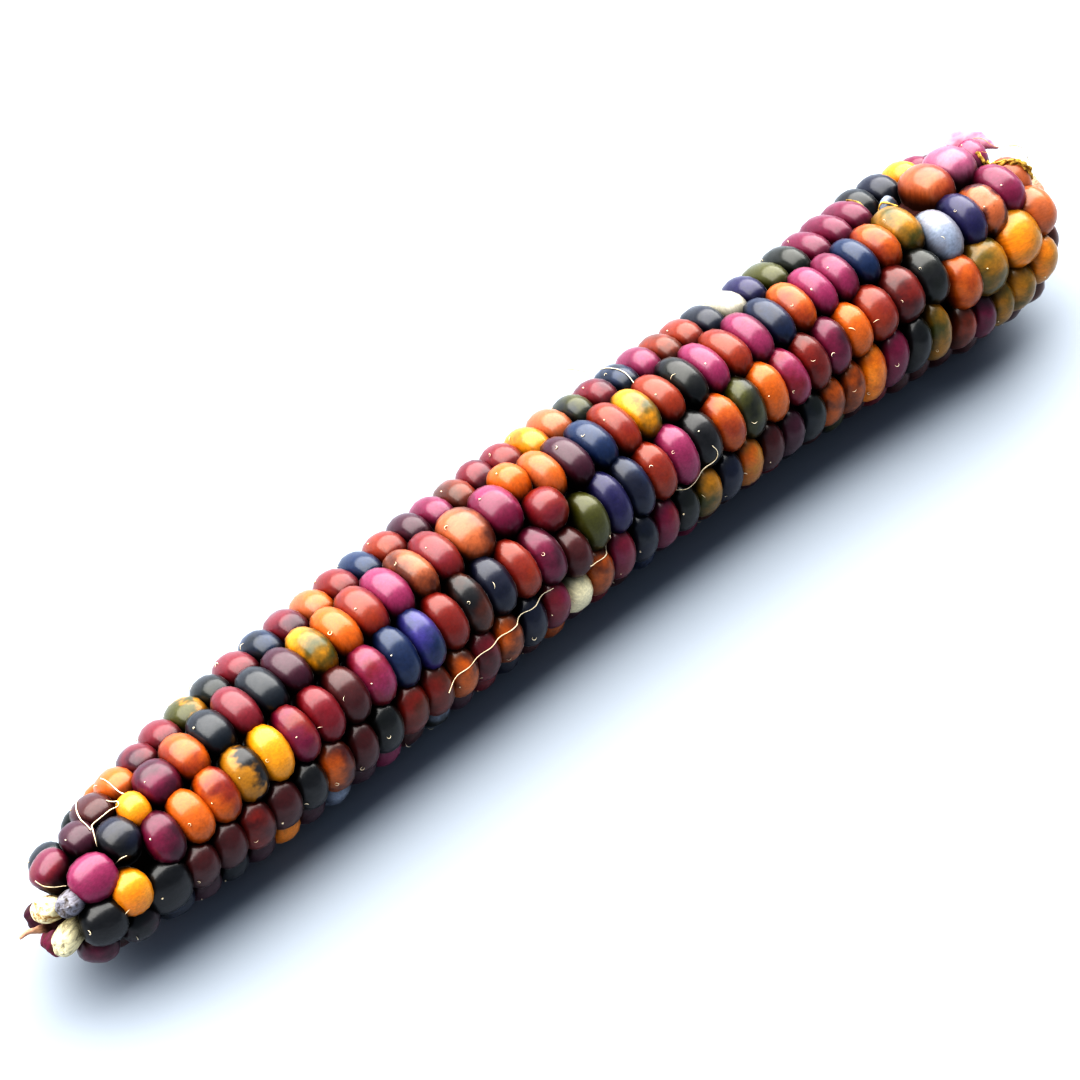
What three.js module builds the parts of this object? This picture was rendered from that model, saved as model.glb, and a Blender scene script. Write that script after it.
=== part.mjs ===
// A dried ear of flint corn lying on its side: a woody cob, eight long rows of kernels, loose
// whorls of kernels at the tip and the butt, and a few dry silk threads and husk scraps.
//
// Units are millimetres, +Z is up and the ear lies along X with its tip towards -X. Places on
// the ear are given by a station, measured along it from the foremost kernel, and by an angle
// round it, measured from straight up towards -Y. The ear rests on Z = 0.

import * as THREE from 'three';
import { mergeVertices } from 'three/addons/utils/BufferGeometryUtils.js';

// ---------------------------------------------------------------- driving dimensions

const middleStation = 92.4;        // the station that sits at X = 0
const bow = 3.0;                   // how far the ear bends away towards +Y
const bowStation = 85.5;
const bowReach = 79.2;
const lateralShift = -0.36;
const axisHeightAtTip = 11.2;
const axisRisePerMillimetre = 0.0218;

const crownRadius = 13.1;          // from the ear's axis to the tops of the kernels
const tipTaper = 6.0;
const tipTaperLength = 26;
const buttSwelling = 1.7;
const buttSwellingStart = 130;
const buttSwellingLength = 38;
const tipDomeStart = -1;
const tipDomeLength = 8;
const buttDomeStart = 165;
const buttDomeLength = 21;

const cobRadius = 5.2;
const cobTipTaper = 3.3;
const cobTipTaperLength = 14;
const spikeRadius = 0.5;
const spikeEndStation = -2.2;
const spikeBaseStation = 4;
const shankRadius = 4.4;
const shankEndStation = 187.0;

const rowCount = 8;
const rowAngle = 360 / rowCount;
const kernelPitch = 4.25;
const undersideRow = 3;
const undersideButtRow = 4;
const tallestLift = 1.0;
const kernelClearance = 0.17;      // each kernel keeps this far inside its share of the ear
const cobClearance = 0.35;

const buttRowCount = 9;
const buttRowAngle = 360 / buttRowCount;
const buttRowBend = 15;            // degrees that the butt rows swing round at the end

// ---------------------------------------------------------------- small helpers

const radians = THREE.MathUtils.degToRad;
const smooth = (value, low, high) => THREE.MathUtils.smoothstep(value, low, high);
const bell = (distance, width) => Math.exp(-((distance / width) ** 2));

// ---------------------------------------------------------------- the ear's overall shape

function axisPoint(station) {
  const across = bow * (1 - ((station - bowStation) / bowReach) ** 2) + lateralShift;
  const height = axisHeightAtTip + axisRisePerMillimetre * station;
  return new THREE.Vector3(station - middleStation, across, height);
}

// Radius of the tops of the kernels: a taper to the tip, a swelling to the butt, a dome on each end.
function crownRadiusAt(station) {
  const taper = tipTaper * Math.exp(-station / tipTaperLength);
  const swelling = buttSwelling * smooth(station, buttSwellingStart,
    buttSwellingStart + buttSwellingLength);
  const plain = crownRadius - taper + swelling;
  if (station < tipDomeStart + tipDomeLength) {
    const fromEnd = Math.max(0, (station - tipDomeStart) / tipDomeLength);
    return plain * (1 - (1 - fromEnd) ** 2.2) ** (1 / 2.2);
  }
  if (station > buttDomeStart) {
    const intoDome = Math.min(1, (station - buttDomeStart) / buttDomeLength);
    return plain * (1 - intoDome ** 3) ** (1 / 3);
  }
  return plain;
}

// Angle by which a kernel leans off the radial direction, positive towards the butt.
function leanAt(station) {
  const step = 0.4;
  const slope = (crownRadiusAt(station + step) - crownRadiusAt(station - step)) / (2 * step);
  return Math.atan(-slope);
}

// The cob tapers to the tip and ends there in a thin withered spike.
function cobRadiusAt(station) {
  const taper = cobTipTaper * Math.exp(-Math.max(0, station) / cobTipTaperLength);
  const body = (cobRadius - taper) * smooth(station, -1.5, spikeBaseStation);
  return Math.max(body, spikeRadius);
}

// Angle of the row that faces the light best, row 0. The rows wind slowly round the ear.
function rowTwist(station) {
  const rise = 37.5 + 15.5 * smooth(station, -20, 130);
  return rise - 5 * smooth(station, 122, 160);
}

// Angle of the border between a row and the next one. Borders are numbered by the row below them.
// An extra kernel is wedged between rows -1 and 0, and pushes the borders near it apart.
const wedgeStation = 84.3;
const wedgeReach = 3.4;
const wedgePush = { '-2': -11, '0': 12, '1': 2 };
const wedgeOpening = [-20, 18];
const tipGathering = { '-3': 13, '-2': 15 };

function borderAngle(row, station, side) {
  const push = bell(station - wedgeStation, wedgeReach);
  const gather = bell(station - 13, 7);
  const plain = rowTwist(station) + (row + 0.5) * rowAngle;
  const opening = row === -1 ? wedgeOpening[side] : (wedgePush[row] ?? 0);
  return plain + opening * push + (tipGathering[row] ?? 0) * gather;
}

// ---------------------------------------------------------------- closed bodies from sections

// A section is a ring of points. Successive rings are joined and both ends are capped.
function closedLoft(sections) {
  const count = sections[0].length;
  const positions = sections.flat().flatMap((point) => [point.x, point.y, point.z]);
  const triangles = [];
  for (let ring = 0; ring < sections.length - 1; ring += 1) {
    for (let i = 0; i < count; i += 1) {
      const a = ring * count + i;
      const b = ring * count + ((i + 1) % count);
      triangles.push(a, b, b + count, a, b + count, a + count);
    }
  }
  const last = (sections.length - 1) * count;
  for (let i = 1; i < count - 1; i += 1) {
    triangles.push(0, i + 1, i, last, last + i, last + i + 1);
  }
  const geometry = new THREE.BufferGeometry();
  geometry.setAttribute('position', new THREE.Float32BufferAttribute(positions, 3));
  geometry.setIndex(signedVolume(positions, triangles) < 0 ? triangles.reverse() : triangles);
  return geometry;
}

function signedVolume(positions, triangles) {
  const corner = (index) => new THREE.Vector3().fromArray(positions, index * 3);
  let volume = 0;
  for (let i = 0; i < triangles.length; i += 3) {
    const [a, b, c] = [corner(triangles[i]), corner(triangles[i + 1]), corner(triangles[i + 2])];
    volume += a.dot(b.cross(c));
  }
  return volume;
}

// Directions at a place on the ear: out along the kernel, and across it round the ear.
function directionsAt(station, angle, lean) {
  const turn = radians(angle);
  const radial = new THREE.Vector3(0, -Math.sin(turn), Math.cos(turn));
  const across = new THREE.Vector3(0, -Math.cos(turn), -Math.sin(turn));
  const out = radial.clone().multiplyScalar(Math.cos(lean));
  out.x += Math.sin(lean);
  return { radial, across, out };
}

// One cut across a kernel: pointed root, widest at the girdle, and a rounded crown. Depth, girdle
// and crownDrop are measured down from the top, and crownDrop is the groove between two kernels.
function kernelSection(place) {
  const { top, out, across, depth, girdle, width, crownDrop } = place;
  const at = (down, sideways) => top.clone()
    .addScaledVector(out, -down)
    .addScaledVector(across, sideways);
  const shoulder = crownDrop + (girdle - crownDrop) * 0.3;
  return [
    at(depth, 0),
    at(girdle, -width),
    at(shoulder, -width * 0.62),
    at(crownDrop, 0),
    at(shoulder, width * 0.62),
    at(girdle, width),
  ];
}

// ---------------------------------------------------------------- rows of kernels

const girdleDepth = 3.3;
const girdleFollow = 0.35;         // how much of a groove's drop the girdle follows
const crownShare = 0.58;           // the flat of a crown, as a share of the kernel's length
const groove = { drop: 1.15, narrowing: 0.22 };
const rowEnd = { drop: 2.3, narrowing: 1.3 };
const crownTop = { drop: 0, narrowing: 0 };

// The stations of a row's cuts: a groove between kernels and two cuts on each crown.
function rowCuts(kernelStations, endReach) {
  const gaps = kernelStations.slice(1).map((station, i) => (station - kernelStations[i]) / 2);
  return kernelStations.flatMap((station, i) => {
    const before = gaps[Math.max(0, i - 1)];
    const after = gaps[i] ?? endReach;
    const cuts = [
      { station: station - before, ...(i === 0 ? rowEnd : groove) },
      { station: station - crownShare * before, ...crownTop },
      { station: station + crownShare * after, ...crownTop },
    ];
    return gaps[i] ? cuts : [...cuts, { station: station + after, ...rowEnd }];
  });
}

// Half width of the room between two border angles at a given radius.
function halfRoom(lowAngle, highAngle, radius) {
  return radius * Math.tan(radians((highAngle - lowAngle) / 2)) - kernelClearance;
}

// The kernels underneath grew a little taller, so that they lie level along the ear.
function undersideLift(station, angle) {
  const level = axisPoint(station).z / -Math.cos(radians(angle)) - crownRadiusAt(station);
  const fade = smooth(station, 16, 26) * (1 - smooth(station, 176, 180));
  return THREE.MathUtils.clamp(level, 0, tallestLift) * fade;
}

function bodyRow(row, kernelStations) {
  const sections = rowCuts(kernelStations, kernelPitch / 2).map((cut) => {
    const low = borderAngle(row - 1, cut.station, 1);
    const high = borderAngle(row, cut.station, 0);
    const lift = row === undersideRow ? undersideLift(cut.station, (low + high) / 2) : 0;
    return cutAcrossRow(cut, low, high, lift);
  });
  return closedLoft(sections);
}

function cutAcrossRow({ station, drop, narrowing }, low, high, lift) {
  const lean = leanAt(station);
  const crown = crownRadiusAt(station) + lift;
  const { radial, across, out } = directionsAt(station, (low + high) / 2, lean);
  const top = axisPoint(station).addScaledVector(radial, crown);
  const rootRadius = cobRadiusAt(station) + cobClearance;
  const depth = (crown - rootRadius) / Math.cos(lean);
  const girdle = Math.min(depth * 0.6, girdleDepth + drop * girdleFollow);
  const width = halfRoom(low, high, crown - girdleDepth) - narrowing;
  return kernelSection({ top, out, across, depth, girdle, width, crownDrop: drop });
}

// A run of kernels at an even pitch. The extra kernel makes its neighbours fatter.
function evenStations(first, count, last) {
  const pitch = (last - first) / (count - 1);
  return Array.from({ length: count }, (_, i) => first + i * pitch);
}

const bodyRows = {
  kernel_row_1: { row: -3, stations: evenStations(12.6, 34, 152.0) },
  kernel_row_2: { row: -2, stations: evenStations(13.1, 34, 152.6) },
  kernel_row_3: { row: -1, stations: evenStations(20.5, 32, 154.6) },
  kernel_row_4: { row: 0, stations: evenStations(16.6, 33, 153.8) },
  kernel_row_5: { row: 1, stations: evenStations(14.4, 34, 153.6) },
  kernel_row_6: { row: 2, stations: evenStations(15.9, 33, 153.5) },
  kernel_row_7: { row: 3, stations: evenStations(14.2, 34, 153.9) },
  kernel_row_8: { row: 4, stations: evenStations(13.6, 34, 152.8) },
};

// The last kernels before the butt lie in nine shorter rows that curl in round the shank.
function buttRowAngleAt(row, station) {
  return 21 + row * buttRowAngle - buttRowBend * smooth(station, 168, 179);
}

const curlStations = [177.3, 181.2, 184.4];
const curlReach = 1.0;             // the last kernel is seen end on, so it ends close by
const buttRows = {
  butt_row_1: { row: -4, stations: [159.6, 164.3, 168.8, 173.2, ...curlStations] },
  butt_row_2: { row: -3, stations: [158.9, 163.7, 168.4, 173.0, ...curlStations] },
  butt_row_3: { row: -2, stations: [157.9, 162.7, 168.3, 173.1, ...curlStations] },
  butt_row_4: { row: -1, stations: [164.7, 171.0, 177.0, 181.0, 184.2] },
  butt_row_5: { row: 0, stations: [160.0, 164.6, 168.7, 173.0, ...curlStations] },
  butt_row_6: { row: 1, stations: [159.2, 164.4, 170.9, 177.0, 181.0, 184.2] },
  butt_row_7: { row: 2, stations: [158.9, 162.8, 166.5, 170.2, 175.2, 179.8, 183.8] },
  butt_row_8: { row: 3, stations: [159.0, 163.6, 168.3, 173.0, ...curlStations] },
  butt_row_9: { row: 4, stations: [159.4, 164.1, 168.7, 173.1, ...curlStations] },
};

function buttRow(row, kernelStations) {
  const sections = rowCuts(kernelStations, curlReach).map((cut) => {
    const middle = buttRowAngleAt(row, cut.station);
    const lift = row === undersideButtRow ? undersideLift(cut.station, middle) : 0;
    return cutAcrossButtRow(cut, middle, lift);
  });
  return closedLoft(sections);
}

function cutAcrossButtRow({ station, drop, narrowing }, angle, lift) {
  const lean = leanAt(station);
  const crown = crownRadiusAt(station) + lift;
  const { radial, across, out } = directionsAt(station, angle, lean);
  const top = axisPoint(station).addScaledVector(radial, crown);
  const rootRadius = cobRadius + cobClearance;
  const depth = Math.min((crown - rootRadius) / Math.cos(lean), 8.8);
  const girdle = Math.min(depth * 0.6, girdleDepth + drop * girdleFollow);
  const half = buttRowAngle / 2;
  const girdleRadius = crown - girdleDepth * Math.cos(lean);
  const width = halfRoom(angle - half, angle + half, girdleRadius) - narrowing;
  return kernelSection({ top, out, across, depth, girdle, width, crownDrop: drop });
}

// ---------------------------------------------------------------- single kernels

// Each entry: station, angle, length along the ear, width round it, and lift off the ear's
// regular crown surface.
const tipKernels = {
  tip_kernel_1: [3.7, -30, 4.8, 5.1, 0.1],
  tip_kernel_2: [9.1, -20, 4.2, 5.3, 0.1],
  tip_kernel_3: [6.2, -72, 4.8, 5.2, -0.2],
  tip_kernel_4: [6.9, 25, 5.8, 5.8, 0.3],
  tip_kernel_5: [12.1, 13, 4.4, 6.0, -0.1],
  tip_kernel_6: [16.0, 1, 3.4, 4.5, -0.2],
  tip_kernel_7: [10.0, 63, 4.2, 6.1, 0.3],
  tip_kernel_8: [4.6, 74, 4.6, 5.4, 0.1],
  tip_kernel_9: [9.7, 109, 4.6, 5.8, 0.0],
  tip_kernel_10: [4.0, 125, 4.7, 5.4, 0.0],
  tip_kernel_11: [8.6, 154, 4.8, 5.6, 0.0],
  tip_kernel_12: [7.0, 202, 5.1, 5.6, 0.0],
  tip_kernel_13: [7.8, 246, 4.6, 5.1, 0.0],
};

// Kernels that withered at the very tip before they filled.
const witheredKernels = {
  withered_kernel_1: [1.2, 3, 2.7, 3.4, 0.1],
  withered_kernel_2: [2.2, 38, 2.6, 3.0, 0.4],
  withered_kernel_3: [0.5, 90, 2.5, 3.9, 0.1],
  withered_kernel_4: [0.6, 178, 3.0, 4.0, 0.0],
  withered_kernel_5: [1.5, 264, 3.6, 4.2, 0.0],
};

const insetKernels = {
  wedged_kernel: [84.4, 26, 5.6, 6.2, 0.1],
  stray_kernel: [158.9, -14, 3.0, 3.2, -0.6],
};

const singleGirdle = 2.5;          // depth of a single kernel's widest place
const singleRounding = 2.0;        // how far its crown and root close in at its two ends

// A single kernel is a loft along the ear whose cuts shrink towards both ends.
function singleKernel([station, angle, length, wide, lift]) {
  const lean = leanAt(station);
  const { radial, across, out } = directionsAt(station, angle, lean);
  const along = new THREE.Vector3().crossVectors(out, across);
  const top = axisPoint(station).addScaledVector(radial, crownRadiusAt(station))
    .addScaledVector(out, lift);
  const depth = rootDepth(top, out);
  const shares = [-1, -0.8, -0.36, 0.36, 0.8, 1];
  const sections = shares.map((share) => {
    const fullness = Math.sqrt(Math.max(0.16, 1 - share * share));
    const rounding = (1 - fullness) * singleRounding;
    return kernelSection({
      top: top.clone().addScaledVector(along, share * length / 2),
      out,
      across,
      depth: depth - rounding,
      girdle: Math.min(singleGirdle, depth * 0.55),
      width: wide / 2 * fullness,
      crownDrop: rounding,
    });
  });
  return closedLoft(sections);
}

// The depth at which a kernel's root reaches the cob.
function rootDepth(top, out) {
  const step = 0.1;
  for (let depth = singleGirdle; depth < crownRadius; depth += step) {
    const root = top.clone().addScaledVector(out, -depth);
    const station = root.x + middleStation;
    const fromAxis = root.distanceTo(axisPoint(station));
    if (fromAxis < cobRadiusAt(station) + cobClearance) return depth;
  }
  throw new Error('A kernel misses the cob.');
}

// ---------------------------------------------------------------- the cob

// Cuts across the woody cob: a withered spike at the tip, the long cob, and the broken shank.
function cob() {
  const sides = 14;
  const cobStations = [-0.8, 0.8, 2.2, 5, 10, 18, 30, 50, 75, 100, 125, 150, 168];
  const profile = [
    [spikeEndStation, spikeRadius / 2],
    ...cobStations.map((station) => [station, cobRadiusAt(station)]),
    [176, 4.8],
    [182, shankRadius],
    [shankEndStation - 0.6, shankRadius],
    [shankEndStation, shankRadius - 0.6],
  ];
  const sections = profile.map(([station, radius]) => {
    const middle = axisPoint(station);
    const spikeRise = 0.5 * smooth(-station, -1, 2.5);
    return Array.from({ length: sides }, (_, i) => {
      const { radial } = directionsAt(station, (360 * i) / sides, 0);
      return middle.clone().addScaledVector(radial, radius)
        .add(new THREE.Vector3(0, 0, spikeRise));
    });
  });
  return closedLoft(sections);
}

// ---------------------------------------------------------------- silk threads

const silkDiameter = 0.4;
const silkClearance = 0.62;

// Routes over the kernels. Each point: station, angle, and how far it dips below the crowns.
const silkThreads = {
  silk_thread_1: [[58.3, 84, 0.1], [61.2, 75, 0.7], [65.0, 76, 0.6], [71.3, 74, 0.8],
    [75.2, 70, 1.4], [78.7, 69, 1.5]],
  silk_thread_2: [[89.1, 63, 0.4], [89.5, 70, 0.9], [87.0, 76, 0.7], [84.8, 77, 0.6]],
  silk_thread_3: [[109.1, 55, 0.2], [109.6, 62, 0.6], [107.4, 66, 1.1], [105.4, 65, 0.9],
    [103.9, 71, 1.4], [101.9, 66, 1.0]],
  silk_thread_4: [[109.4, -49, 0.0], [107.7, -24, 0.9], [106.9, -12, 1.1], [105.9, -3, 0.5]],
  silk_thread_5: [[154.6, -20, 0.7], [156.2, -12, 0.9], [157.4, -5, 0.4]],
  silk_thread_6: [[9.0, 9, 0.5], [10.9, -4, 0.6], [10.9, -24, 0.0], [11.2, -42, 0.3]],
  silk_thread_7: [[11.9, -5, 0.4], [14.2, -8, 0.6], [15.4, -7, 0.5]],
  silk_thread_8: [[15.4, -47, 0.2], [15.8, -28, 0.1], [16.9, -12, 0.5], [17.6, -8, 0.5]],
  silk_thread_9: [[2.6, -46, 0.2], [2.4, -22, 0.0], [3.0, -2, 0.0], [4.2, 3, 0.3]],
};

function silkThread(route) {
  const points = route.map(([station, angle, dip]) => {
    const { radial, out } = directionsAt(station, angle, leanAt(station));
    return axisPoint(station).addScaledVector(radial, crownRadiusAt(station))
      .addScaledVector(out, silkClearance - dip);
  });
  const outline = new THREE.Shape();
  const sides = 8;
  for (let i = 0; i < sides; i += 1) {
    const turn = (2 * Math.PI * i) / sides;
    const corner = [Math.cos(turn) * silkDiameter / 2, Math.sin(turn) * silkDiameter / 2];
    if (i === 0) outline.moveTo(...corner); else outline.lineTo(...corner);
  }
  const geometry = new THREE.ExtrudeGeometry(outline, {
    steps: 3 * (route.length - 1),
    bevelEnabled: false,
    extrudePath: new THREE.CatmullRomCurve3(points),
  });
  geometry.deleteAttribute('normal');
  geometry.deleteAttribute('uv');
  return mergeVertices(geometry, 1e-4);
}

// ---------------------------------------------------------------- husk scraps

const scrapThickness = 0.35;

// A scrap is a thin curved strip, tented along its middle. Each cut: station, angle, height above
// the crowns, and half width.
const scraps = {
  husk_scrap: [[175.8, -2, 0.25, 0.4], [176.7, 6, 0.3, 0.9], [177.6, 14, 0.3, 1.1],
    [178.4, 22, 0.3, 0.8], [178.9, 28, 0.2, 0.3]],
  torn_skin: [[177.2, -26, 0.2, 1.0], [178.8, -22, 0.3, 1.6], [180.2, -17, 0.6, 1.2],
    [181.2, -13, 0.9, 0.4]],
};
const scrapRidge = 0.3;

function scrap(cuts) {
  const places = cuts.map(([station, angle, height, half]) => {
    const { radial, out } = directionsAt(station, angle, leanAt(station));
    const middle = axisPoint(station).addScaledVector(radial, crownRadiusAt(station))
      .addScaledVector(out, height);
    return { middle, out, half };
  });
  const sections = places.map(({ middle, out, half }, i) => {
    const previous = places[Math.max(0, i - 1)].middle;
    const next = places[Math.min(places.length - 1, i + 1)].middle;
    const side = next.clone().sub(previous).cross(out).normalize();
    const at = (sideways, up) => middle.clone().addScaledVector(side, sideways)
      .addScaledVector(out, up);
    return [at(0, scrapRidge), at(half, 0), at(half, scrapThickness),
      at(0, scrapRidge + scrapThickness), at(-half, scrapThickness), at(-half, 0)];
  });
  return closedLoft(sections);
}

// ---------------------------------------------------------------- finishes

const finish = (colour, roughness) => new THREE.MeshStandardMaterial({
  color: colour,
  roughness,
  metalness: 0,
});

const rowColours = ['#7d4a63', '#b46a78', '#c8706a', '#a83a4e', '#6e3330', '#54435e',
  '#8a5a3c', '#4c5a78', '#93506a'];
const tipColours = ['#a04858', '#6d4058', '#39404e', '#d0608e', '#27303a', '#e9a92c', '#f0a81e',
  '#1f262e', '#3a2f3a', '#4a2c36', '#7c3f3c', '#4d5570', '#8f6a2f'];
const witheredColours = ['#e6dfc2', '#b9bccb', '#dcd6b8', '#6f5560', '#4c3350'];

// ---------------------------------------------------------------- the ear

const ear = new THREE.Group();

function addPiece(name, geometry, material) {
  const mesh = new THREE.Mesh(geometry, material);
  mesh.name = name;
  ear.add(mesh);
}

addPiece('cob', cob(), finish('#c9a878', 0.9));

Object.entries(bodyRows).forEach(([name, { row, stations }], i) => {
  addPiece(name, bodyRow(row, stations), finish(rowColours[i], 0.3));
});
Object.entries(buttRows).forEach(([name, { row, stations }], i) => {
  addPiece(name, buttRow(row, stations), finish(rowColours[(i + 4) % rowColours.length], 0.3));
});
Object.entries(tipKernels).forEach(([name, kernel], i) => {
  addPiece(name, singleKernel(kernel), finish(tipColours[i], 0.3));
});
Object.entries(witheredKernels).forEach(([name, kernel], i) => {
  addPiece(name, singleKernel(kernel), finish(witheredColours[i], 0.6));
});
addPiece('wedged_kernel', singleKernel(insetKernels.wedged_kernel), finish('#b8455e', 0.3));
addPiece('stray_kernel', singleKernel(insetKernels.stray_kernel), finish('#8793a2', 0.4));

for (const [name, route] of Object.entries(silkThreads)) {
  addPiece(name, silkThread(route), finish('#e4d6b4', 0.7));
}
addPiece('husk_scrap', scrap(scraps.husk_scrap), finish('#b9924e', 0.85));
addPiece('torn_skin', scrap(scraps.torn_skin), finish('#e7c3cc', 0.6));

export default ear;
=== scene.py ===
# %% [markdown]
# # A dried ear of flint corn
# Flint corn grown for its colours carries hard, glassy kernels of many pigments on one cob. The solids
# already say where every row lies. This notebook seats a real kernel shape at each place, gives each its own
# pigment, and adds the silk, the chaff and the withered tip.

import math
import random

import bmesh
import bpy
import numpy as np
from mathutils import Matrix, Vector, noise
from mathutils.bvhtree import BVHTree


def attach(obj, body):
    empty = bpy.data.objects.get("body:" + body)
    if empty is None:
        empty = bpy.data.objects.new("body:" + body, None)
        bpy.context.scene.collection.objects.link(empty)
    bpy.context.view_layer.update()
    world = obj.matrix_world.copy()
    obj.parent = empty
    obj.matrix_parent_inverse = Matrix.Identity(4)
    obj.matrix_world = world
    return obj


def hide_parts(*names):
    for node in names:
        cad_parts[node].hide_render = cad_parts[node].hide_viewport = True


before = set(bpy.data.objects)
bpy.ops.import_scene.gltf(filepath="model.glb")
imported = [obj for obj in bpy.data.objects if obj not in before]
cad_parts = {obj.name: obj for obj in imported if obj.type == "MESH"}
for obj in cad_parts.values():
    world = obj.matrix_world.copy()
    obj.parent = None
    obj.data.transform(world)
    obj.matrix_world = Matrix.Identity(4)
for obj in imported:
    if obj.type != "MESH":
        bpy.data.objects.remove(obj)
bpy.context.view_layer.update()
MM = 0.001
scene = bpy.context.scene

# %% [markdown]
# ## Camera
# A small thing on a table is seen from above and from one side, with a long lens that keeps its far end from
# shrinking much. A Track To constraint could aim the camera, but a plain rotation made from the view
# direction is easier to read back.

# %% Camera
VIEW_AZIMUTH, VIEW_ELEVATION = math.radians(-45.48), math.radians(46.0)
VIEW_DISTANCE = 378.0
VIEW_TARGET = Vector((-6.0, 1.2, 12.8))
LENS = 94.8

camera_data = bpy.data.cameras.new("camera")
camera_data.lens = LENS
camera_data.clip_start = 0.01
camera = bpy.data.objects.new("camera", camera_data)
scene.collection.objects.link(camera)
level = math.cos(VIEW_ELEVATION)
towards_camera = Vector((math.sin(VIEW_AZIMUTH) * level, -math.cos(VIEW_AZIMUTH) * level,
                         math.sin(VIEW_ELEVATION)))
camera.location = (VIEW_TARGET + towards_camera * VIEW_DISTANCE) * MM
camera.rotation_euler = towards_camera.to_track_quat("Z", "Y").to_euler()
scene.camera = camera
print("camera at", [round(x, 3) for x in camera.location])

# %% [markdown]
# ## Node helpers and colours
# Node trees could be wired link by link. Here one small function adds a node with its settings and links,
# and the short ones after it name what natural skins need: noise, a value spread over another range, a mix
# of two colours, a fine relief. So a tree reads like a sentence. Colours are sRGB hex values, turned to the
# linear values that Blender works in.


# %% Node helpers and colours
def add_node(tree, kind, inputs=None, **settings):
    node = tree.nodes.new(kind)
    for name, value in settings.items():
        setattr(node, name, value)
    for socket, value in (inputs or {}).items():
        if isinstance(value, bpy.types.NodeSocket):
            tree.links.new(value, node.inputs[socket])
        else:
            node.inputs[socket].default_value = value
    return node


def linear(hex_colour):
    channels = [int(hex_colour[i:i + 2], 16) / 255 for i in (1, 3, 5)]
    return tuple(c / 12.92 if c <= 0.04045 else ((c + 0.055) / 1.055) ** 2.4 for c in channels) + (1.0,)


def add_object(name, data, collection=scene.collection):
    made = bpy.data.objects.new(name, data)
    collection.objects.link(made)
    return made


def calculate(tree, operation, *values, kind="ShaderNodeMath"):
    return add_node(tree, kind, dict(enumerate(values)), operation=operation).outputs[0]


def calculate_vector(tree, operation, *values):
    return calculate(tree, operation, *values, kind="ShaderNodeVectorMath")


def read(tree, attribute, output="Vector"):
    return add_node(tree, "ShaderNodeAttribute", attribute_name=attribute).outputs[output]


def object_place(tree):
    return add_node(tree, "ShaderNodeTexCoord").outputs["Object"]


def grainy(tree, place, scale, detail, roughness, distortion=0.0):
    """Noise over a place, from 0 to 1. Three scales in place of one stretch it along the axes."""
    if isinstance(scale, tuple):
        place, scale = calculate_vector(tree, "MULTIPLY", place, scale), 1.0
    return add_node(tree, "ShaderNodeTexNoise", {
        "Vector": place, "Scale": scale, "Detail": detail, "Roughness": roughness,
        "Distortion": distortion}).outputs["Fac"]


def spread(tree, value, source, target=(0.0, 1.0), **settings):
    """The value, with its range drawn out from source to target, each given as a low and a high end."""
    return add_node(tree, "ShaderNodeMapRange", {
        "Value": value, "From Min": source[0], "From Max": source[1], "To Min": target[0],
        "To Max": target[1]}, **settings).outputs["Result"]


def blend(tree, share, first, second):
    """First turns into second as the share goes from 0 to 1. Each is a colour socket or a hex value."""
    first, second = (linear(c) if isinstance(c, str) else c for c in (first, second))
    return add_node(tree, "ShaderNodeMix", {"Factor": share, "A": first, "B": second},
                    data_type="RGBA").outputs[2]


def relief(tree, height, strength, depth_in_mm):
    return add_node(tree, "ShaderNodeBump", {
        "Height": height, "Strength": strength, "Distance": depth_in_mm * MM}).outputs["Normal"]


def new_material(name):
    made = bpy.data.materials.new(name)
    made.use_nodes = True
    made.node_tree.nodes.clear()
    print("material:", name)
    return made, made.node_tree


def finish_material(tree, inputs):
    shader = add_node(tree, "ShaderNodeBsdfPrincipled", inputs)
    add_node(tree, "ShaderNodeOutputMaterial", {"Surface": shader.outputs["BSDF"]})


# %% [markdown]
# ## Floor and light
# The ear lies on a pale sheet under soft light. One broad level panel overhead gives every kernel a wide
# soft sheen with a clear edge, and a dim one far behind lights the far flanks. A bright sky would be
# simpler, but it would drown that edge.

# %% Floor and light
FLOOR_SIZE = 3.0
SKY_COLOUR, SKY_STRENGTH = "#d8e5f6", 0.47

floor_material, tree = new_material("white_paper")
finish_material(tree, {"Base Color": linear("#949aa2"), "Roughness": 0.7, "Specular IOR Level": 0.2})

floor_mesh = bpy.data.meshes.new("floor")
half = FLOOR_SIZE / 2
floor_mesh.from_pydata([(-half, -half, 0), (half, -half, 0), (half, half, 0), (-half, half, 0)], [],
                       [(0, 1, 2, 3)])
floor_mesh.materials.append(floor_material)
floor = add_object("floor", floor_mesh)


def softbox(name, place, size, radiance, colour, tilt=0.0):
    """A panel of light, level or tilted. Its power follows from how bright its face should look."""
    data = bpy.data.lights.new(name, "AREA")
    data.shape = "RECTANGLE"
    data.size, data.size_y = size
    data.energy = radiance * math.pi * size[0] * size[1]
    data.color = linear(colour)[:3]
    lamp = add_object(name, data)
    lamp.location = place
    lamp.rotation_euler = (math.radians(tilt), 0, 0)


softbox("ceiling_window", place=(0.5, 0.68, 0.95), size=(4.0, 1.75), radiance=4.4, colour="#fffdf8")
softbox("far_wall", place=(0.3, 2.45, 0.48), size=(6.0, 0.94), radiance=0.8, colour="#f2f5ff", tilt=-90)

world = bpy.data.worlds.new("studio")
world.use_nodes = True
sky = world.node_tree.nodes["Background"].inputs
sky["Color"].default_value = linear(SKY_COLOUR)
sky["Strength"].default_value = SKY_STRENGTH
scene.world = world
scene.view_settings.view_transform = "Standard"
scene.view_settings.look = "Very High Contrast"

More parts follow.
